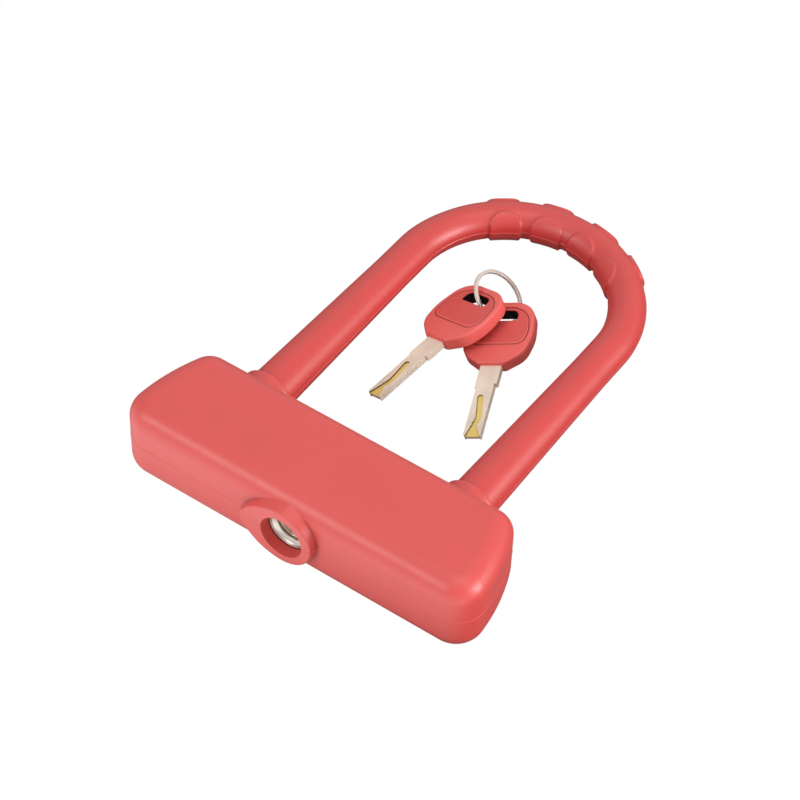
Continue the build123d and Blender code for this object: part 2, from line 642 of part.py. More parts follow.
for side, name in ((-1, "left"), (1, "right")):
    save("end_cap_" + name, end_cap(side))
    save("bolt_" + name, bolt(side))
    save("bolt_guide_" + name, bolt_guide(side))
    save("leg_socket_" + name, leg_socket(side))
    save("dust_seal_" + name, dust_seal(side))

for name, place in (("key_a", KEY_A_PLACE), ("key_b", KEY_B_PLACE)):
    location = key_location(place)
    save(name + "_head", location * key_head())
    save(name + "_liner", location * key_liner())
    save(name + "_blade", location * key_blade())
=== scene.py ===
import json
from math import atan2, cos, hypot, pi, radians, sin

import bmesh
import bpy
import numpy as np
from mathutils import Matrix, Vector


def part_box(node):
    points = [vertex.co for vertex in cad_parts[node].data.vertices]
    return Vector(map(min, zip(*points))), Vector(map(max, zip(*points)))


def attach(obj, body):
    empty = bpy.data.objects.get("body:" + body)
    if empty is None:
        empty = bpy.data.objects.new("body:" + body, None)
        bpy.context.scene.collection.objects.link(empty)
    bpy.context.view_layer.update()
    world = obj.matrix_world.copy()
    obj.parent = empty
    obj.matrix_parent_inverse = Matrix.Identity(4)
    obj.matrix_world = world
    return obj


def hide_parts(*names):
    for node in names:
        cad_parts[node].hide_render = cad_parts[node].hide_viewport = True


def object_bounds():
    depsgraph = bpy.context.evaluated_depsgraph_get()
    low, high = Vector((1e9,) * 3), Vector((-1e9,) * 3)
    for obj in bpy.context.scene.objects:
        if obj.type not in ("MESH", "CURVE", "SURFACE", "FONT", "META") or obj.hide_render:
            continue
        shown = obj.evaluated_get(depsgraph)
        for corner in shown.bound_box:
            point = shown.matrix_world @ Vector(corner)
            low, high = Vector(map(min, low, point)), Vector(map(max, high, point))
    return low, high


# A small U lock that lies flat on a pale floor, with its two keys on their ring inside the U.
# Metres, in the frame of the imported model: X along the crossbar, +Y along the legs, +Z up.

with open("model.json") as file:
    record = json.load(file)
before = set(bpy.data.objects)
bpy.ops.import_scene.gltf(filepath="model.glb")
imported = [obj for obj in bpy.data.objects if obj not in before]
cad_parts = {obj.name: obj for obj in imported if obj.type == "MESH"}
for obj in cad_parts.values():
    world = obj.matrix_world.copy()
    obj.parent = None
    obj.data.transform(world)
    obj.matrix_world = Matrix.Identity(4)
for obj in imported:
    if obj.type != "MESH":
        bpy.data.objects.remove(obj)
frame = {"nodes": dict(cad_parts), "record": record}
cad_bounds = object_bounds()
NODES = frame["nodes"]
MM = 0.001


# ---------------------------------------------------------------- camera

TARGET = Vector((-12.84, 66.44, 0.0)) * MM
AZIMUTH = radians(33.509)
ELEVATION = radians(47.448)
ROLL = radians(2.184)
DISTANCE = 1017.45 * MM
LENS = 121.1
SENSOR = 36.0


def add_camera():
    """Long lens, high on the right of the crossbar's front."""
    back = Vector((sin(AZIMUTH) * cos(ELEVATION), -cos(AZIMUTH) * cos(ELEVATION), sin(ELEVATION)))
    right = (-back).cross(Vector((0, 0, 1))).normalized()
    up = back.cross(right)
    camera_x = right * cos(ROLL) + up * sin(ROLL)
    camera_y = up * cos(ROLL) - right * sin(ROLL)
    data = bpy.data.cameras.new("camera")
    data.lens = LENS
    data.sensor_width = SENSOR
    data.clip_start = 0.01
    camera = bpy.data.objects.new("camera", data)
    matrix = Matrix((camera_x, camera_y, back)).transposed().to_4x4()
    matrix.translation = TARGET + back * DISTANCE
    camera.matrix_world = matrix
    bpy.context.scene.collection.objects.link(camera)
    bpy.context.scene.camera = camera


# ---------------------------------------------------------------- light

LIGHT_AIM = Vector((0, 50, 0)) * MM     # a place inside the U
WORLD_GLOW = 0.60


def add_area(name, toward, distance, size, power):
    """A soft rectangular light in that direction from the lock, pointing back at it."""
    data = bpy.data.lights.new(name, "AREA")
    data.shape = "RECTANGLE"
    data.size, data.size_y = size
    data.energy = power
    light = bpy.data.objects.new(name, data)
    light.location = LIGHT_AIM + Vector(toward).normalized() * distance
    light.rotation_euler = Vector(toward).to_track_quat("Z", "Y").to_euler()
    bpy.context.scene.collection.objects.link(light)


def add_lights():
    """A pale studio: boxes in front, on the right, overhead and behind, and a low strip."""
    world = bpy.data.worlds.new("studio")
    bpy.context.scene.world = world
    world.use_nodes = True
    background = world.node_tree.nodes["Background"]
    background.inputs["Color"].default_value = (1.0, 1.0, 1.0, 1.0)
    background.inputs["Strength"].default_value = WORLD_GLOW
    add_area("front_box", (-0.37, -0.76, 0.54), 1.2, (0.6, 0.15), 2.6)
    add_area("right_box", (0.93, 0.20, 0.28), 1.2, (0.7, 0.5), 9.0)
    add_area("top_box", (0.10, -0.05, 1.00), 1.5, (1.2, 1.2), 4.6)
    add_area("back_box", (-0.37, 0.56, 0.74), 1.5, (0.9, 0.9), 0.4)
    add_area("back_strip", (-0.10, 0.90, 0.36), 1.5, (2.6, 0.6), 0.6)


# ---------------------------------------------------------------- floor

FLOOR_HALF = 6.0
FLOOR_GAP = 0.02 * MM
FLOOR_GREY = 0.15                       # what light and reflections meet
FLOOR_ROUGH = 0.9
FLOOR_WHITE = 1.08                      # what the camera sees
WHITE_SHARE = 0.92                      # of its view; the rest is the grey floor with its shadows
FRONT_WAY = (-0.10, -0.995, 0.0)        # out from the bar's front
GLOW_START = 15 * MM                    # how far out the front glow sets in, and is full
GLOW_FULL = 45 * MM
FRONT_GLOW = 1.15                       # light that comes back off the floor in front of the bar


def add_front_glow(nodes, links, shader):
    """Makes the grey floor give off light in front of the bar, as a pale card there would."""
    place = nodes.new("ShaderNodeTexCoord")
    forward = nodes.new("ShaderNodeVectorMath")
    forward.operation = "DOT_PRODUCT"
    forward.inputs[1].default_value = FRONT_WAY
    patch = nodes.new("ShaderNodeMapRange")
    patch.inputs["From Min"].default_value = GLOW_START
    patch.inputs["From Max"].default_value = GLOW_FULL
    patch.inputs["To Max"].default_value = FRONT_GLOW
    links.new(place.outputs["Object"], forward.inputs[0])
    links.new(forward.outputs["Value"], patch.inputs["Value"])
    links.new(patch.outputs["Result"], shader.inputs["Emission Strength"])


def white_to_camera(nodes, links, shader):
    """Mixes an even white over the floor for rays from the camera only, so its shadows look faint."""
    glow = nodes.new("ShaderNodeEmission")
    glow.inputs["Strength"].default_value = FLOOR_WHITE
    seen = nodes.new("ShaderNodeLightPath")
    share = nodes.new("ShaderNodeMath")
    share.operation = "MULTIPLY"
    share.inputs[1].default_value = WHITE_SHARE
    mix = nodes.new("ShaderNodeMixShader")
    links.new(seen.outputs["Is Camera Ray"], share.inputs[0])
    links.new(share.outputs["Value"], mix.inputs["Fac"])
    links.new(shader.outputs["BSDF"], mix.inputs[1])
    links.new(glow.outputs["Emission"], mix.inputs[2])
    return mix.outputs["Shader"]


def floor_material():
    """Dark grey to light and reflections, with a glow in front of the bar; white to the camera."""
    material = bpy.data.materials.new("floor")
    material.use_nodes = True
    nodes = material.node_tree.nodes
    links = material.node_tree.links
    shader = nodes["Principled BSDF"]
    shader.inputs["Base Color"].default_value = (FLOOR_GREY, FLOOR_GREY, FLOOR_GREY, 1.0)
    shader.inputs["Roughness"].default_value = FLOOR_ROUGH
    shader.inputs["Specular IOR Level"].default_value = 0.0
    shader.inputs["Emission Color"].default_value = (1.0, 1.0, 1.0, 1.0)
    add_front_glow(nodes, links, shader)
    surface = white_to_camera(nodes, links, shader)
    links.new(surface, nodes["Material Output"].inputs["Surface"])
    return material


def add_floor():
    """A wide flat floor just under the lock."""
    height = cad_bounds[0][2] - FLOOR_GAP
    corners = [(-FLOOR_HALF, -FLOOR_HALF), (FLOOR_HALF, -FLOOR_HALF),
               (FLOOR_HALF, FLOOR_HALF), (-FLOOR_HALF, FLOOR_HALF)]
    mesh = bpy.data.meshes.new("floor")
    mesh.from_pydata([(x, y, height) for x, y in corners], [], [(0, 1, 2, 3)])
    floor = bpy.data.objects.new("floor", mesh)
    bpy.context.scene.collection.objects.link(floor)
    floor.data.materials.append(floor_material())


# ---------------------------------------------------------------- material helpers

CREASE_SAMPLES = 16
CREASE_SHADE = 0.2                      # how bright the painted shade of a closed crease is, against the open skin


class Nodes:
    """Builds one procedural material around a Principled shader."""

    def __init__(self, name):
        self.material = bpy.data.materials.new(name)
        self.material.use_nodes = True
        self.tree = self.material.node_tree
        self.shader = self.tree.nodes["Principled BSDF"]
        self.coordinate = self.add("ShaderNodeTexCoord").outputs["Object"]

    def add(self, kind, **settings):
        """A new node with its plain settings."""
        node = self.tree.nodes.new(kind)
        for key, value in settings.items():
            setattr(node, key, value)
        return node

    def link(self, source, target):
        """Joins an output to an input."""
        self.tree.links.new(source, target)

    def set(self, **values):
        """Constants on the shader's own sockets."""
        for key, value in values.items():
            self.shader.inputs[key.replace("_", " ")].default_value = value

    def noise(self, scale, detail=3.0, roughness=0.5):
        """Noise over the piece; scale is in features per metre."""
        node = self.add("ShaderNodeTexNoise")
        node.inputs["Scale"].default_value = scale
        node.inputs["Detail"].default_value = detail
        node.inputs["Roughness"].default_value = roughness
        self.link(self.coordinate, node.inputs["Vector"])
        return node.outputs["Fac"]

    def ramp(self, source, low, high, start=0.0, end=1.0):
        """Spreads a 0 to 1 value between two numbers."""
        node = self.add("ShaderNodeMapRange")
        node.inputs["From Min"].default_value = start
        node.inputs["From Max"].default_value = end
        node.inputs["To Min"].default_value = low
        node.inputs["To Max"].default_value = high
        self.link(source, node.inputs["Value"])
        return node.outputs["Result"]

    def mix(self, factor, first, second):
        """Colour between two colours, each a tuple or an output."""
        node = self.add("ShaderNodeMix", data_type="RGBA")
        self.link(factor, node.inputs["Factor"])
        for socket, value in (("A", first), ("B", second)):
            target = [s for s in node.inputs if s.name == socket and s.type == "RGBA"][0]
            if isinstance(value, tuple):
                target.default_value = value + (1.0,)
            else:
                self.link(value, target)
        return [s for s in node.outputs if s.type == "RGBA"][0]

    def shaded(self, skin, colour, reach, low, high):
        """Paints shade into a colour in the piece's own creases and hollows; reach is in millimetres."""
        node = self.add("ShaderNodeAmbientOcclusion", samples=CREASE_SAMPLES, only_local=True)
        node.inputs["Distance"].default_value = reach * MM
        openness = self.ramp(node.outputs["AO"], 0.0, 1.0, low, high)
        # colour of the painted shade in the deepest creases
        crease = tuple(CREASE_SHADE * c for c in colour)
        return self.mix(openness, crease, skin)

    def bump(self, height, strength, distance, normal=None):
        """A bump of that depth in metres."""
        node = self.add("ShaderNodeBump")
        node.inputs["Strength"].default_value = strength
        node.inputs["Distance"].default_value = distance
        self.link(height, node.inputs["Height"])
        if normal is not None:
            self.link(normal, node.inputs["Normal"])
        return node.outputs["Normal"]


# ---------------------------------------------------------------- materials

COVER_RED = (0.73, 0.060, 0.050)
SLEEVE_RED = (0.66, 0.040, 0.033)
SHEEN_TINT = (1.0, 0.80, 0.78, 1.0)
SILICONE_CREASE_SHADE = (14.0, 0.45, 0.82)    # painted crease shade: reach in millimetres, openness of a dark and of a clear place
# painted crease shade of the key heads' plastic: reach, openness of a dark and of a clear place
PLASTIC_CREASE_SHADE = (1.2, 0.50, 0.80)


def red_silicone(name, colour):
    """Matt moulded silicone: fine grain, slight mottling, a pale sheen, and painted shade in its creases
    and recesses.
    """
    m = Nodes(name)
    mottle = m.ramp(m.noise(38.0, 4.0, 0.6), 0.0, 1.0, 0.3, 0.7)
    skin = m.mix(mottle, colour, tuple(0.94 * c for c in colour))
    m.link(m.shaded(skin, colour, *SILICONE_CREASE_SHADE), m.shader.inputs["Base Color"])
    m.link(m.ramp(m.noise(420.0, 4.0), 0.37, 0.49), m.shader.inputs["Roughness"])
    grain = m.bump(m.noise(2600.0, 2.0), 0.35, 0.00006)
    m.link(m.bump(m.noise(240.0, 3.0), 0.20, 0.00012, grain), m.shader.inputs["Normal"])
    m.set(Sheen_Weight=0.12, Sheen_Roughness=0.45, Specular_IOR_Level=1.0)
    m.shader.inputs["Sheen Tint"].default_value = SHEEN_TINT
    return m.material


PLASTIC_RED = (0.90, 0.150, 0.132)
PLASTIC_DEEP_RED = (0.85, 0.132, 0.116)
# painted shade: the colour of the valleys between the knurl's points
KNURL_VALLEY_SHADE = (0.66, 0.072, 0.064)
KNURL_POINTS = 1450.0                   # rows to a metre


def red_plastic():
    """Satin moulded plastic of the key heads, with fine scuffs and painted shade in its creases."""
    m = Nodes("red_plastic")
    colour = m.mix(m.noise(60.0, 3.0), PLASTIC_RED, PLASTIC_DEEP_RED)
    m.link(m.shaded(colour, PLASTIC_RED, *PLASTIC_CREASE_SHADE), m.shader.inputs["Base Color"])
    m.link(m.ramp(m.noise(900.0, 3.0), 0.34, 0.48), m.shader.inputs["Roughness"])
    m.link(m.bump(m.noise(3200.0, 2.0), 0.25, 0.00004), m.shader.inputs["Normal"])
    return m.material


def red_knurl():
    """Grip panel of the key heads: rows of fine raised points in the same plastic, with painted shade in
    the valleys between them.
    """
    m = Nodes("red_knurl")
    turned = m.add("ShaderNodeMapping")
    turned.inputs["Rotation"].default_value = (0.0, 0.0, radians(45))
    turned.inputs["Scale"].default_value = (1.0, 1.0, 0.0)
    m.link(m.coordinate, turned.inputs["Vector"])
    points = m.add("ShaderNodeTexVoronoi")
    points.inputs["Scale"].default_value = KNURL_POINTS
    points.inputs["Randomness"].default_value = 0.0
    m.link(turned.outputs["Vector"], points.inputs["Vector"])
    height = m.ramp(points.outputs["Distance"], 1.0, 0.0, 0.10, 0.60)
    colour = m.mix(m.noise(60.0, 3.0), PLASTIC_RED, PLASTIC_DEEP_RED)
    # painted shade: darker in the valleys between the points
    m.link(m.mix(height, KNURL_VALLEY_SHADE, colour), m.shader.inputs["Base Color"])
    m.link(m.ramp(m.noise(900.0, 3.0), 0.38, 0.50), m.shader.inputs["Roughness"])
    m.link(m.bump(height, 0.6, 0.00014), m.shader.inputs["Normal"])
    return m.material


def dark(name, colour, rough):
    """Black plastic or rubber with a soft grain, and the dark brown painted shade on the key blades'
    groove walls.
    """
    m = Nodes(name)
    shade = m.mix(m.noise(500.0), colour, tuple(2.0 * c for c in colour))
    m.link(shade, m.shader.inputs["Base Color"])
    m.link(m.ramp(m.noise(1500.0), rough - 0.08, rough + 0.08), m.shader.inputs["Roughness"])
    m.link(m.bump(m.noise(2500.0), 0.3, 0.00004), m.shader.inputs["Normal"])
    return m.material


def metal(name, colour, rough, stretch=(1.0, 1.0, 1.0), scratch=0.3, metallic=1.0):
    """Metal with fine scratches drawn out along one way, and slight tarnish."""
    m = Nodes(name)
    mapping = m.add("ShaderNodeMapping")
    mapping.inputs["Scale"].default_value = stretch
    m.link(m.coordinate, mapping.inputs["Vector"])
    lines = m.add("ShaderNodeTexNoise")
    lines.inputs["Scale"].default_value = 900.0
    lines.inputs["Detail"].default_value = 4.0
    m.link(mapping.outputs["Vector"], lines.inputs["Vector"])
    darker = tuple(0.80 * c for c in colour)
    shade = m.mix(m.ramp(m.noise(120.0, 4.0), 0.0, 1.0, 0.35, 0.75), colour, darker)
    m.link(shade, m.shader.inputs["Base Color"])
    m.link(m.ramp(lines.outputs["Fac"], rough - 0.07, rough + 0.09), m.shader.inputs["Roughness"])
    m.link(m.bump(lines.outputs["Fac"], scratch, 0.00003), m.shader.inputs["Normal"])
    m.set(Metallic=metallic)
    return m.material


def make_materials():
    """One material for each of the record's slots, and three more for the sleeve and the keys."""
    return {
        "red_silicone": red_silicone("red_silicone", COVER_RED),
        "sleeve_silicone": red_silicone("sleeve_silicone", SLEEVE_RED),
        "red_plastic": red_plastic(),
        "red_knurl": red_knurl(),
        "black_plastic": dark("black_plastic", (0.006, 0.006, 0.007), 0.35),
        "black_rubber": dark("black_rubber", (0.012, 0.012, 0.012), 0.6),
        "nickel": metal("nickel", (1.0, 0.87, 0.71), 0.50, (1.0, 0.3, 1.0), 0.0, 0.15),
        "ring_steel": metal("ring_steel", (0.95, 0.87, 0.77), 0.32, (1.0, 1.0, 1.0), 0.0, 0.6),
        "case_steel": metal("case_steel", (0.50, 0.50, 0.51), 0.40, (0.05, 1.0, 1.0)),
        "hardened_steel": metal("hardened_steel", (0.42, 0.42, 0.43), 0.36, (1.0, 0.05, 1.0), 0.03),
        "polished_steel": metal("polished_steel", (0.80, 0.76, 0.69), 0.30, (1.0, 8.0, 1.0), 0.0),
        "zinc_casting": metal("zinc_casting", (0.45, 0.45, 0.47), 0.55),
        "brass": metal("brass", (1.0, 0.76, 0.22), 0.45, (1.0, 3.0, 1.0), 0.1, 0.1),
        # painted shade: the groove walls of the key blades drawn dark brown
        "groove_wall_shade": dark("groove_wall_shade", (0.050, 0.026, 0.010), 0.55),
    }


def paint_cad_nodes(materials):
    """Gives every carried-over CAD node its procedural material, by the record's slots."""
    for entry in frame["record"]["subparts"]:
        node = NODES[entry["node"]]
        node.data.materials.clear()
        node.data.materials.append(materials[entry["material_slot"]])


# ---------------------------------------------------------------- mesh helpers

def smooth_step(x):
    """0 below -1, 1 above 1, smooth between."""
    t = np.clip(np.asarray(x) / 2 + 0.5, 0.0, 1.0)
    return t * t * (3 - 2 * t)


def tube_faces(rings, columns, closed):
    """Quads between rings of points; a closed tube joins its last ring to its first."""
    faces = []
    for i in range(rings if closed else rings - 1):
        here = i * columns
        there = (i + 1) % rings * columns
        for j in range(columns):
            k = (j + 1) % columns
            faces.append((here + j, there + j, there + k, here + k))
    return faces


def end_faces(rings, columns):
    """Flat ends of an open tube."""
    first = tuple(range(columns))
    last = tuple((rings - 1) * columns + j for j in range(columns))[::-1]
    return [first, last]


def make_piece(name, mesh, body, materials, replaced=(), place=None):
    """Puts a mesh in the scene, on a body, with its outward side out."""
    shape = bmesh.new()
    shape.from_mesh(mesh)
    bmesh.ops.recalc_face_normals(shape, faces=shape.faces)
    shape.to_mesh(mesh)
    shape.free()
    piece = bpy.data.objects.new(name, mesh)
    bpy.context.scene.collection.objects.link(piece)
    for material in materials:
        mesh.materials.append(material)
    if place is not None:
        piece.matrix_world = place
    if replaced:
        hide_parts(*replaced)
    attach(piece, body)
    return piece


def new_mesh(name, points, faces, places=None):
    """A smooth-shaded mesh, with a material place for each face if there are several."""
    mesh = bpy.data.meshes.new(name)
    mesh.from_pydata([tuple(p) for p in points], [], faces)
    mesh.polygons.foreach_set("use_smooth", [True] * len(mesh.polygons))
    if places is not None:
        mesh.polygons.foreach_set("material_index", places)
    return mesh


# ---------------------------------------------------------------- shackle sleeve

rod_low, rod_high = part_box("shackle_rod")
sleeve_low, sleeve_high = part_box("shackle_sleeve")
ROD_R = (rod_high.z - rod_low.z) / 2
MID_Z = (rod_high.z + rod_low.z) / 2
LEG_X = rod_high.x - ROD_R
BEND_Y = rod_high.y - ROD_R - LEG_X
SLEEVE_START = sleeve_low.y
SLEEVE_BASE_R = (sleeve_high.z - sleeve_low.z) / 2
SLEEVE_R = 7.46 * MM
SLEEVE_BEND_R = 7.22 * MM               # drawn a little thinner by the bend
EASE_ANGLE = 0.5                        # radians over which it thins
TAPER_END = 106.3 * MM
BORE_GAP = 0.04 * MM
PAD_PITCH = 24.47                       # degrees round the bend
PAD_ANGLES = [radians(90 + step * PAD_PITCH) for step in (-1.5, -0.5, 0.5, 1.5)]
PAD_PROUD = 1.0 * MM
PAD_EDGE = 0.42 * MM
INNER_PAD = (6.3 * MM, 10.2 * MM)       # half width, reach above the middle
OUTER_PAD = (7.2 * MM, 7.9 * MM)
SEAM_PROUD = 0.22 * MM                  # the mould's parting line
SEAM_HALF = 0.36 * MM
LEG_RINGS = 170
BEND_RINGS = 420
AROUND = 144


def arch_distance(across, along, half_width, reach):
    """Distance inside an upright slot with round ends; across and along in metres."""
    straight = max(reach - half_width, 0.0)
    stretch = half_width / max(reach - straight, 1e-9)
    over = np.maximum(np.abs(along) - straight, 0.0) * stretch
    return half_width - np.sqrt(across ** 2 + over ** 2)


def pad_height(theta, phi):
    """How far the grip pads stand out, at an angle round the bend and angles round the tube."""
    height = np.zeros_like(phi)
    from_outside = np.abs((phi + pi) % (2 * pi) - pi)
    from_inside = pi - from_outside
    for centre in PAD_ANGLES:
        across = (theta - centre) * (LEG_X + SLEEVE_R * np.cos(phi))
        for around, (half_width, reach) in ((from_inside, INNER_PAD), (from_outside, OUTER_PAD)):
            depth = arch_distance(across, around * (SLEEVE_R + PAD_PROUD), half_width, reach)
            height = np.maximum(height, PAD_PROUD * smooth_step(depth / PAD_EDGE))
    return height


def seam_height(phi):
    """Fine ridge where the mould's halves met, on the inner and the outer side."""
    nearest = np.abs((phi + pi / 2) % pi - pi / 2) * SLEEVE_R
    return SEAM_PROUD * np.clip(1 - nearest / SEAM_HALF, 0.0, 1.0)


def angles_round_tube():
    """Even angles, with more of them at the parting line."""
    even = np.linspace(0, 2 * pi, AROUND, endpoint=False)
    fine = np.linspace(-SEAM_HALF, SEAM_HALF, 5) / SLEEVE_R
    return np.unique(np.round(np.concatenate([even, fine % (2 * pi), pi + fine]), 9))


def sleeve_rows():
    """Rings of the sleeve: its centre, the rod's centre, outward direction, bend angle, radius."""
    rows = []
    leg = np.linspace(SLEEVE_START, BEND_Y, LEG_RINGS)[:-1]
    for y in leg:
        rows.append(((-LEG_X, y), (-LEG_X, y), (-1.0, 0.0), pi, leg_radius(y)))
    for theta in np.linspace(pi, 0, BEND_RINGS):
        thin = (SLEEVE_R - SLEEVE_BEND_R) * smooth_step(2 * min(theta, pi - theta) / EASE_ANGLE - 1)
        outward = (cos(theta), sin(theta))
        centre, rod = (
            (arc * outward[0], BEND_Y + arc * outward[1]) for arc in (LEG_X - thin, LEG_X)
        )
        rows.append((centre, rod, outward, theta, SLEEVE_R - thin))
    for y in leg[::-1]:
        rows.append(((LEG_X, y), (LEG_X, y), (1.0, 0.0), 0.0, leg_radius(y)))
    return rows


def leg_radius(y):
    """Long taper up each leg, then constant."""
    share = min((y - SLEEVE_START) / (TAPER_END - SLEEVE_START), 1.0)
    return SLEEVE_BASE_R + (SLEEVE_R - SLEEVE_BASE_R) * share


def ring_points(centre, outward, phi, radii):
    """One ring of the sleeve."""
    (cx, cy), (ox, oy) = centre, outward
    reach = np.cos(phi) * radii
    return np.column_stack([cx + ox * reach, cy + oy * reach, MID_Z + np.sin(phi) * radii])


def make_sleeve(materials):
    """Silicone sleeve with grip pads and the mould's parting line."""
    phi = angles_round_tube()
    rows = sleeve_rows()
    rings = []
    for centre, _, outward, theta, radius in rows:
        radii = radius + pad_height(theta, phi) + seam_height(phi)
        rings.append(ring_points(centre, outward, phi, radii))
    for _, rod, outward, _, _ in rows[::-1]:
        rings.append(ring_points(rod, outward, phi, np.full(len(phi), ROD_R + BORE_GAP)))
    faces = tube_faces(len(rings), len(phi), closed=True)
    mesh = new_mesh("shackle_sleeve_skin", np.concatenate(rings), faces)
    silicone = [materials["sleeve_silicone"]]
    make_piece("shackle_sleeve_skin", mesh, "shackle", silicone, ("shackle_sleeve",))


# ---------------------------------------------------------------- crossbar cover's parting line

BEAD_HALF = 0.30 * MM
BEAD_PROUD = 0.11 * MM
BEAD_STEP = 0.8 * MM
BEAD_PROFILE = ((-1.0, -1.0), (-0.6, 0.75), (0.0, 1.0), (0.6, 0.75), (1.0, -1.0))   # widths, heights
COLLAR_CLEAR = 12.0 * MM                # no parting line within this of a leg's centre, behind
RECESS_EDGE = 9.3 * MM                  # nor within this of the keyhole's axis, in front
WALK_RADIUS = 60 * MM                   # of the rounded ends of a walk round the bar, well outside it


def stadium(half_length, radius):
    """Points and inward directions round the bar, well outside it."""
    straight = np.arange(-half_length, half_length, BEAD_STEP)
    turn = np.arange(-pi / 2, pi / 2, BEAD_STEP / radius)
    walk = [((x, -radius), (0.0, 1.0)) for x in straight]
    walk += [((half_length + radius * cos(a), radius * sin(a)), (-cos(a), -sin(a))) for a in turn]
    walk += [((-x, radius), (0.0, -1.0)) for x in straight]
    walk += [((-half_length - radius * cos(a), -radius * sin(a)), (cos(a), sin(a))) for a in turn]
    return walk


def parting_runs():
    """Stretches of the cover's outside at mid height, each a list of points and outward normals."""
    cover = NODES["crossbar_cover"]
    low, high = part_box("crossbar_cover")
    runs = [[]]
    for (x, y), (dx, dy) in stadium(high.x - (high.z - low.z) / 2, WALK_RADIUS):
        hit, point, normal, _ = cover.ray_cast(Vector((x, y, MID_Z)), Vector((dx, dy, 0)))
        by_leg = hit and point.y > 0 and abs(abs(point.x) - LEG_X) < COLLAR_CLEAR
        in_hole = hit and abs(point.x) < RECESS_EDGE and point.y < 0
        jump = runs[-1] and (point - runs[-1][-1][0]).length > 4 * BEAD_STEP
        if not hit or by_leg or in_hole or jump:
            runs.append([])
        if hit and not by_leg and not in_hole:
            runs[-1].append((point.copy(), Vector((normal.x, normal.y, 0)).normalized()))
    return [run for run in runs if len(run) > 3]


def make_parting_line(materials):
    """Fine bead along the silicone cover where the mould's halves met."""
    points = []
    faces = []
    for run in parting_runs():
        first = len(points)
        for point, normal in run:
            for across, height in BEAD_PROFILE:
                lift = normal * (BEAD_PROUD * height) + Vector((0, 0, BEAD_HALF * across))
                points.append(point + lift)
        columns = len(BEAD_PROFILE)
        stretch = tube_faces(len(run), columns, closed=False) + end_faces(len(run), columns)
        faces += [tuple(first + i for i in face) for face in stretch]
    mesh = new_mesh("cover_parting_line", points, faces)
    make_piece("cover_parting_line", mesh, "crossbar", [materials["red_silicone"]])


# ---------------------------------------------------------------- cylinder's bezel

# Millimetres: radius, and depth behind the bezel's front.
BEZEL_PROFILE = (
    (8.85, 1.30), (8.85, 0.16), (8.80, 0.05), (8.70, 0.0), (8.30, 0.0), (8.20, 0.05), (8.12, 0.18),
    (8.10, 0.42), (8.02, 0.55), (7.85, 0.70), (7.60, 0.90), (7.30, 1.12), (7.00, 1.32), (6.75, 1.46),
    (6.58, 1.55), (6.50, 1.64), (6.46, 1.80), (6.46, 3.58), (7.84, 3.58), (7.84, 1.30),
)
BEZEL_COLUMNS = 160


def make_bezel(materials):
    """Turned steel ring round the keyway: a flat rim, a step, a cove and a lip."""
    low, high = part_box("cylinder_bezel")
    turn = np.linspace(0, 2 * pi, BEZEL_COLUMNS, endpoint=False)
    points = []
    for radius, depth in BEZEL_PROFILE:
        points.append(np.column_stack([
            radius * MM * np.cos(turn),
            np.full(BEZEL_COLUMNS, low.y + depth * MM),
            MID_Z + radius * MM * np.sin(turn),
        ]))
    faces = tube_faces(len(points), BEZEL_COLUMNS, closed=True)
    mesh = new_mesh("cylinder_bezel_turned", np.concatenate(points), faces)
    steel = [materials["polished_steel"]]
    make_piece("cylinder_bezel_turned", mesh, "crossbar", steel, ("cylinder_bezel",))


# ---------------------------------------------------------------- keys

# Millimetres, in a key's own frame: v across, u along the blade away from the tip, w through.
KEY_TURNS = {"key_a": (-8.87, 8.76, -20.86), "key_b": (21.66, 5.95, -17.68)}   # yaw, pitch, roll
HEAD_HALF = 2.8
# Corners of the right side of each outline: v, u, rounding.
HEAD_CORNERS = ((5.4, -1.1, 1.2), (12.3, 4.0, 9.0), (14.2, 13.5, 22.0), (11.8, 29.5, 9.3))
HEAD_EDGE = 0.9
PANEL_CORNERS = ((11.2, 8.1, 4.3), (12.3, 14.5, 10.0), (10.4, 26.7, 9.0))
PANEL_SINK = 0.12
PANEL_GAP = 0.42
PANEL_GAP_DEPTH = 0.42
HOLE_U = 22.7
HOLE_CORNERS = ((6.2, 20.1, 0.8), (6.2, 25.2, 2.8))
LINER_WALL = 0.9
LINER_TOP = 2.37
LINER_GAP = 0.03
HOLE_DEPTH = 0.8                        # height at which the hole's skin turns back, hidden by the liner
LIP = 0.22
SOFT = 0.07                             # rounding of the groove's edges
HEAD_COLUMNS = 288
CORNER_STEPS = 40
OUTLINE_STEP = 0.1
BLADE_HALF = 1.2
BLADE_WIDEST = 4.3
TANG_U = 15.0
BLADE_BEVEL = 0.13
GROOVE_FLOOR = 0.6
GROOVE_TOP = -15.0
GROOVE_REACH = 2.9
FLAT_NORMAL = 0.9                       # least upward share of a flat face's normal
FLOOR_SLACK = 0.1
WALL_SLACK = 0.05
WELD = 0.002
FLAT_ANGLE = radians(1)                 # faces that meet at less are joined
SHARP_ANGLE = radians(40)               # edges that turn by more are broken
PLASTIC, KNURL = 0, 1                   # material places of a head
NICKEL, GOLD, WALL_SHADE = 0, 1, 2            # material places of a blade; the walls' place holds painted shade


def key_matrix(name):
    """A key's own frame: its turns are named, and its place comes from the CAD blade."""
    yaw, pitch, roll = (radians(angle) for angle in KEY_TURNS[name])
    turn = Matrix.Rotation(yaw, 3, "Z") @ Matrix.Rotation(pitch, 3, "X") @ Matrix.Rotation(roll, 3, "Y")
    blade = NODES[name + "_blade"].data
    turned = np.array([vertex.co for vertex in blade.vertices]) @ np.array(turn)
    low, high = turned.min(0), turned.max(0)
    local = Vector((high[0] - BLADE_WIDEST * MM, high[1] - TANG_U * MM, (low[2] + high[2]) / 2))
    matrix = turn.to_4x4()
    matrix.translation = turn @ local
    return matrix


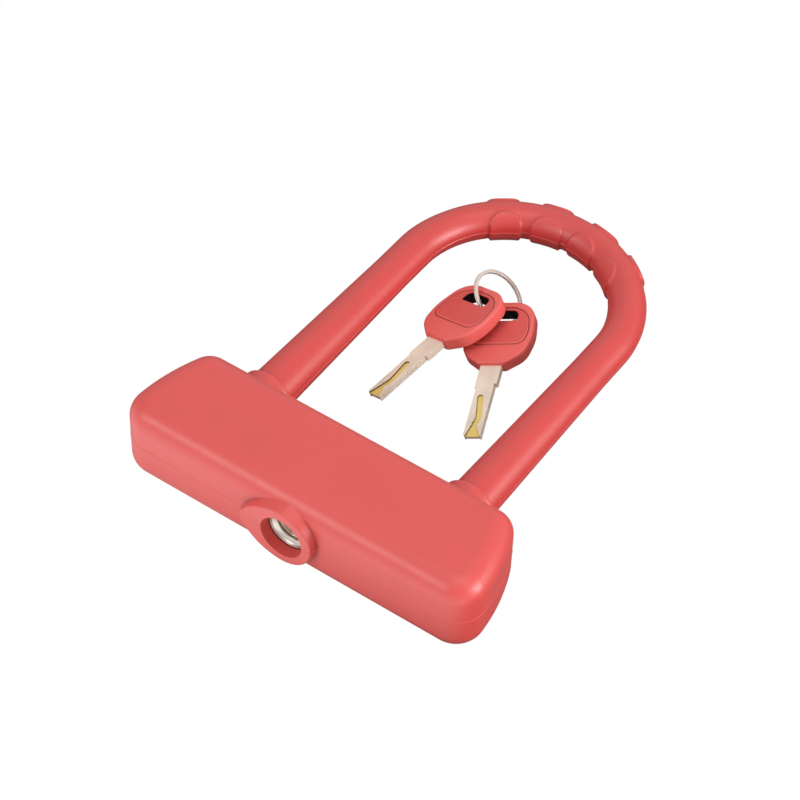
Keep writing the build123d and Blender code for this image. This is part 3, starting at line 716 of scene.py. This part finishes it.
class Outline:
    """Closed outline that mirrors about v = 0, from the rounded corners of its right side."""

    def __init__(self, corners):
        whole = list(corners) + [(-v, u, r) for v, u, r in corners[::-1]]
        spots = [Vector((v, u)) for v, u, _ in whole]
        self.arcs = []
        for i, (_, _, radius) in enumerate(whole):
            before = (spots[i] - spots[i - 1]).normalized()
            after = (spots[(i + 1) % len(spots)] - spots[i]).normalized()
            start = atan2(-before.x, before.y)
            turn = before.angle(after)
            inward = (after - before).normalized()
            centre = spots[i] + inward * radius / cos(turn / 2)
            self.arcs.append((centre, radius, start, turn))

    def points(self, inset):
        """Dense points along the outline drawn in by inset."""
        found = []
        for centre, radius, start, turn in self.arcs:
            reach = radius - inset
            for angle in np.linspace(start, start + turn, CORNER_STEPS):
                found.append((centre.x + reach * cos(angle), centre.y + reach * sin(angle)))
        found.append(found[0])
        dense = []
        for (v0, u0), (v1, u1) in zip(found, found[1:]):
            steps = max(int(hypot(v1 - v0, u1 - u0) / OUTLINE_STEP), 1)
            for share in np.arange(steps) / steps:
                dense.append((v0 + (v1 - v0) * share, u0 + (u1 - u0) * share))
        return np.array(dense)

    def reach(self, angles, inset):
        """Distance from the middle of the ring's hole to the outline, at each angle."""
        spots = self.points(inset) - np.array((0.0, HOLE_U))
        round_hole = np.arctan2(spots[:, 1], spots[:, 0])
        distances = np.hypot(spots[:, 0], spots[:, 1])
        order = np.argsort(round_hole)
        return np.interp(angles, round_hole[order], distances[order], period=2 * pi)


def even_angles(outline):
    """Angles round the hole that divide the outline into even steps."""
    spots = outline.points(0.0)
    pick = spots[np.linspace(0, len(spots), HEAD_COLUMNS, endpoint=False).astype(int)]
    return np.arctan2(pick[:, 1] - HOLE_U, pick[:, 0])


def head_profile(angles):
    """Rings of the head's upper half, from inside the hole to the side: radius, w, material."""
    head, panel, hole = Outline(HEAD_CORNERS), Outline(PANEL_CORNERS), Outline(HOLE_CORNERS)
    top = HEAD_HALF
    sunk = HEAD_HALF - PANEL_SINK
    floor = HEAD_HALF - PANEL_GAP_DEPTH
    rings = []

    def ring(outline, inset, w, place=PLASTIC):
        rings.append((outline.reach(angles, inset), w, place))

    def spread(first, last, w, count, place):
        for share in np.linspace(0, 1, count + 2)[1:-1]:
            rings.append((first * (1 - share) + last * share, w, place))

    ring(hole, -LINER_WALL - LINER_GAP, HOLE_DEPTH)
    ring(hole, -LINER_WALL - LINER_GAP, LINER_TOP)
    ring(hole, 0.0, LINER_TOP)
    for angle in np.linspace(0, pi / 2, 5):
        ring(hole, LIP * (cos(angle) - 1), sunk - LIP * (1 - sin(angle)), KNURL)
    spread(hole.reach(angles, -LIP), panel.reach(angles, PANEL_GAP + SOFT), sunk, 16, KNURL)
    ring(panel, PANEL_GAP + SOFT, sunk)
    ring(panel, PANEL_GAP, sunk - SOFT)
    ring(panel, PANEL_GAP, floor)
    ring(panel, 0.0, floor)
    ring(panel, 0.0, top - SOFT)
    ring(panel, -SOFT, top)
    spread(panel.reach(angles, -SOFT), head.reach(angles, HEAD_EDGE), top, 5, PLASTIC)
    for angle in np.linspace(0, pi / 2, 8):
        ring(head, HEAD_EDGE * (1 - sin(angle)), top - HEAD_EDGE * (1 - cos(angle)))
    ring(head, 0.0, 0.0)
    return rings


def make_head(name, matrix, materials):
    """Moulded head with a grip panel in a fine groove on both faces, and a hole for the ring."""
    angles = even_angles(Outline(HEAD_CORNERS))
    upper = head_profile(angles)
    lower = [(reach, -w, place) for reach, w, place in upper[-2::-1]]
    points = []
    for reach, w, _ in upper + lower:
        points.append(np.column_stack([
            np.cos(angles) * reach,
            HOLE_U + np.sin(angles) * reach,
            np.full(len(angles), w),
        ]))
    bands = [place for _, _, place in upper[1:]] + [place for _, _, place in lower] + [PLASTIC]
    faces = tube_faces(len(points), HEAD_COLUMNS, closed=True)
    places = np.repeat(bands, HEAD_COLUMNS)
    mesh = new_mesh(name + "_head_skin", np.concatenate(points) * MM, faces, places)
    coats = [materials["red_plastic"], materials["red_knurl"]]
    make_piece(name + "_head_skin", mesh, name, coats, (name + "_head",), matrix)


def blade_place(face):
    """Which material a face of the blade has: bare nickel, the groove's floor, or its walls with their
    painted shade.
    """
    v, u, w = face.calc_center_median() / MM
    flat = abs(face.normal.z) > FLAT_NORMAL
    sunk = BLADE_HALF - abs(w)
    if flat and abs(sunk - GROOVE_FLOOR) < FLOOR_SLACK:
        return GOLD
    in_track = abs(v) < GROOVE_REACH and u < GROOVE_TOP
    if not flat and in_track and WALL_SLACK < sunk < GROOVE_FLOOR + WALL_SLACK:
        return WALL_SHADE
    return NICKEL


def make_blade(name, matrix, materials):
    """The blade with its edges broken, a gilt floor in the winding track, and painted shade on the
    track's walls.
    """
    mesh = NODES[name + "_blade"].data.copy()
    mesh.materials.clear()
    mesh.transform(matrix.inverted())
    shape = bmesh.new()
    shape.from_mesh(mesh)
    bmesh.ops.remove_doubles(shape, verts=shape.verts, dist=WELD * MM)
    bmesh.ops.dissolve_limit(shape, angle_limit=FLAT_ANGLE, verts=shape.verts, edges=shape.edges)
    sharp = [
        edge for edge in shape.edges
        if len(edge.link_faces) == 2 and edge.calc_face_angle() > SHARP_ANGLE
    ]
    bmesh.ops.bevel(shape, geom=sharp, offset=BLADE_BEVEL * MM, segments=2, profile=0.5,
                    affect="EDGES", clamp_overlap=True)
    shape.normal_update()
    for face in shape.faces:
        face.material_index = blade_place(face)
        face.smooth = False
    shape.to_mesh(mesh)
    shape.free()
    coats = [materials["nickel"], materials["brass"], materials["groove_wall_shade"]]
    make_piece(name + "_blade_skin", mesh, name, coats, (name + "_blade",), matrix)


# ---------------------------------------------------------------- split ring

RING_AZIMUTH = radians(15.4)            # of the ring's axis
RING_ELEVATION = radians(52.2)
RING_R = 11.04 * MM
STRAND_HALF = (0.70 * MM, 0.33 * MM)    # radial, axial
STRAND_LIFT = 0.34 * MM
STRAND_ROUND = 0.22 * MM
CROSSING = 0.35                         # half the angle over which the wire crosses to its second turn
CROSSING_AT = radians(200)              # under the key heads
RING_STEPS = 420
STRAND_CORNER_POINTS = 4


def strand_section():
    """Rounded rectangle: radial and axial offsets."""
    points = []
    for right, top in ((1, 1), (-1, 1), (-1, -1), (1, -1)):
        middle = atan2(top, right)
        for angle in np.linspace(middle - pi / 4, middle + pi / 4, STRAND_CORNER_POINTS):
            points.append((
                right * (STRAND_HALF[0] - STRAND_ROUND) + STRAND_ROUND * cos(angle),
                top * (STRAND_HALF[1] - STRAND_ROUND) + STRAND_ROUND * sin(angle),
            ))
    return points


def make_ring(materials):
    """Split ring: flat wire wound twice, crossing from one turn to the other."""
    section = strand_section()
    points = []
    for angle in np.linspace(CROSSING, 4 * pi - CROSSING, RING_STEPS):
        lift = STRAND_LIFT * (2 * float(smooth_step((angle - 2 * pi) / CROSSING)) - 1)
        for radial, axial in section:
            reach = RING_R + radial
            turn = CROSSING_AT + angle
            points.append((reach * cos(turn), reach * sin(turn), lift + axial))
    faces = tube_faces(RING_STEPS, len(section), closed=False) + end_faces(RING_STEPS, len(section))
    mesh = new_mesh("key_ring_wire", points, faces)
    normal = Vector((
        cos(RING_ELEVATION) * cos(RING_AZIMUTH),
        cos(RING_ELEVATION) * sin(RING_AZIMUTH),
        sin(RING_ELEVATION),
    ))
    matrix = normal.to_track_quat("Z", "Y").to_matrix().to_4x4()
    low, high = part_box("key_ring")
    matrix.translation = (low + high) / 2
    steel = [materials["ring_steel"]]
    make_piece("key_ring_wire", mesh, "ring", steel, ("key_ring",), matrix)


# ---------------------------------------------------------------- the scene

add_camera()
add_lights()
add_floor()
bpy.context.scene.view_settings.view_transform = "Standard"
materials = make_materials()
paint_cad_nodes(materials)
make_sleeve(materials)
make_parting_line(materials)
make_bezel(materials)
for key in KEY_TURNS:
    matrix = key_matrix(key)
    make_head(key, matrix, materials)
    make_blade(key, matrix, materials)
make_ring(materials)
